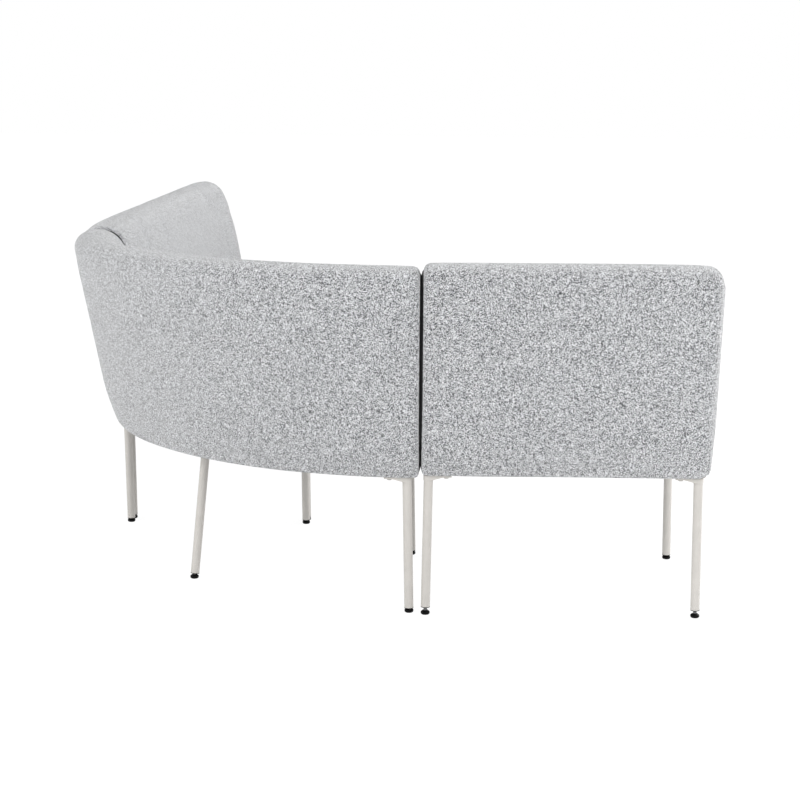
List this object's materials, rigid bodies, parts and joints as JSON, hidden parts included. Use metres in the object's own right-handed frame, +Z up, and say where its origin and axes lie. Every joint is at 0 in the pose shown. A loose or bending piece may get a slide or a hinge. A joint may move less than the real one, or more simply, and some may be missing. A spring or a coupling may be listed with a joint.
{
  "type": "upholstered banquette bench",
  "caption": "L-shaped upholstered banquette bench: a short, a quarter-round corner and a long module with reclined padded backs on round tube legs.",
  "frame": {"origin": "on the floor, under the middle of the bounding box", "axes": "+X along the short module away from the corner, +Y along the long module away from the corner, +Z up"},
  "size_m": [1.5681, 3.1203, 0.8138],
  "materials": {
    "upholstery": "woven melange of black, grey and white yarns",
    "foam": "open-cell foam",
    "lining": "non-woven lining",
    "plywood": "raw plywood",
    "zinc_steel": "zinc plated",
    "leg_paint": "fine satin powder coat",
    "bolt_paint": "satin paint",
    "black_plastic": "moulded",
    "glide": "moulded"
  },
  "bodies": {
    "root": {"bracket_bolts": "bolt_paint", "corner_back_board": "plywood", "corner_back_brackets": "zinc_steel", "corner_back_cover": "upholstery", "corner_back_foam": "foam", "corner_dust_cover": "lining", "corner_leg_front_long_side": "leg_paint", "corner_leg_front_single_side": "leg_paint", "corner_leg_inserts": "black_plastic", "corner_leg_rear_long_side": "leg_paint", "corner_leg_rear_middle": "leg_paint", "corner_leg_rear_single_side": "leg_paint", "corner_seat_board": "plywood", "corner_seat_cover": "upholstery", "corner_seat_foam": "foam", "leg_link_clips": "black_plastic", "long_back_board": "plywood", "long_back_brackets": "zinc_steel", "long_back_cover": "upholstery", "long_back_foam": "foam", "long_dust_cover": "lining", "long_leg_front_inner": "leg_paint", "long_leg_front_middle": "leg_paint", "long_leg_front_outer": "leg_paint", "long_leg_inserts": "black_plastic", "long_leg_rear_inner": "leg_paint", "long_leg_rear_middle": "leg_paint", "long_leg_rear_outer": "leg_paint", "long_seat_board": "plywood", "long_seat_cover": "upholstery", "long_seat_foam": "foam", "single_back_board": "plywood", "single_back_brackets": "zinc_steel", "single_back_cover": "upholstery", "single_back_foam": "foam", "single_dust_cover": "lining", "single_leg_front_inner": "leg_paint", "single_leg_front_outer": "leg_paint", "single_leg_inserts": "black_plastic", "single_leg_rear_inner": "leg_paint", "single_leg_rear_outer": "leg_paint", "single_seat_board": "plywood", "single_seat_cover": "upholstery", "single_seat_foam": "foam"},
    "corner_front_long_side_foot": {"corner_glide_front_long_side": "glide"},
    "corner_front_single_side_foot": {"corner_glide_front_single_side": "glide"},
    "corner_rear_long_side_foot": {"corner_glide_rear_long_side": "glide"},
    "corner_rear_middle_foot": {"corner_glide_rear_middle": "glide"},
    "corner_rear_single_side_foot": {"corner_glide_rear_single_side": "glide"},
    "long_front_inner_foot": {"long_glide_front_inner": "glide"},
    "long_front_middle_foot": {"long_glide_front_middle": "glide"},
    "long_front_outer_foot": {"long_glide_front_outer": "glide"},
    "long_rear_inner_foot": {"long_glide_rear_inner": "glide"},
    "long_rear_middle_foot": {"long_glide_rear_middle": "glide"},
    "long_rear_outer_foot": {"long_glide_rear_outer": "glide"},
    "single_front_inner_foot": {"single_glide_front_inner": "glide"},
    "single_front_outer_foot": {"single_glide_front_outer": "glide"},
    "single_rear_inner_foot": {"single_glide_rear_inner": "glide"},
    "single_rear_outer_foot": {"single_glide_rear_outer": "glide"}
  },
  "joints": [
    {"name": "corner_front_long_side_levelling", "type": "slide", "parent": "root", "child": "corner_front_long_side_foot", "axis": [0.012, 0.022, -0.9997], "range_m": [0, 0.015]},
    {"name": "corner_front_single_side_levelling", "type": "slide", "parent": "root", "child": "corner_front_single_side_foot", "axis": [0.022, 0.012, -0.9997], "range_m": [0, 0.015]},
    {"name": "corner_rear_long_side_levelling", "type": "slide", "parent": "root", "child": "corner_rear_long_side_foot", "axis": [0.012, 0.022, -0.9997], "range_m": [0, 0.015]},
    {"name": "corner_rear_middle_levelling", "type": "slide", "parent": "root", "child": "corner_rear_middle_foot", "axis": [-0.0894, -0.0894, -0.992], "range_m": [-0.001, 0.013]},
    {"name": "corner_rear_single_side_levelling", "type": "slide", "parent": "root", "child": "corner_rear_single_side_foot", "axis": [0.022, 0.012, -0.9997], "range_m": [0, 0.015]},
    {"name": "long_front_inner_levelling", "type": "slide", "parent": "root", "child": "long_front_inner_foot", "axis": [0.012, -0.0132, -0.9998], "range_m": [0, 0.015]},
    {"name": "long_front_middle_levelling", "type": "slide", "parent": "root", "child": "long_front_middle_foot", "axis": [0.012, 0, -0.9999], "range_m": [0, 0.015]},
    {"name": "long_front_outer_levelling", "type": "slide", "parent": "root", "child": "long_front_outer_foot", "axis": [0.012, 0.0132, -0.9998], "range_m": [0, 0.015]},
    {"name": "long_rear_inner_levelling", "type": "slide", "parent": "root", "child": "long_rear_inner_foot", "axis": [0.012, -0.0132, -0.9998], "range_m": [0, 0.015]},
    {"name": "long_rear_middle_levelling", "type": "slide", "parent": "root", "child": "long_rear_middle_foot", "axis": [0.012, 0, -0.9999], "range_m": [0, 0.015]},
    {"name": "long_rear_outer_levelling", "type": "slide", "parent": "root", "child": "long_rear_outer_foot", "axis": [0.012, 0.0132, -0.9998], "range_m": [0, 0.015]},
    {"name": "single_front_inner_levelling", "type": "slide", "parent": "root", "child": "single_front_inner_foot", "axis": [-0.0132, -0.0026, -0.9999], "range_m": [0, 0.015]},
    {"name": "single_front_outer_levelling", "type": "slide", "parent": "root", "child": "single_front_outer_foot", "axis": [0.0132, -0.0026, -0.9999], "range_m": [0, 0.015]},
    {"name": "single_rear_inner_levelling", "type": "slide", "parent": "root", "child": "single_rear_inner_foot", "axis": [-0.0132, -0.0026, -0.9999], "range_m": [-0.007, 0.008]},
    {"name": "single_rear_outer_levelling", "type": "slide", "parent": "root", "child": "single_rear_outer_foot", "axis": [0.0132, -0.0026, -0.9999], "range_m": [-0.007, 0.008]}
  ]
}
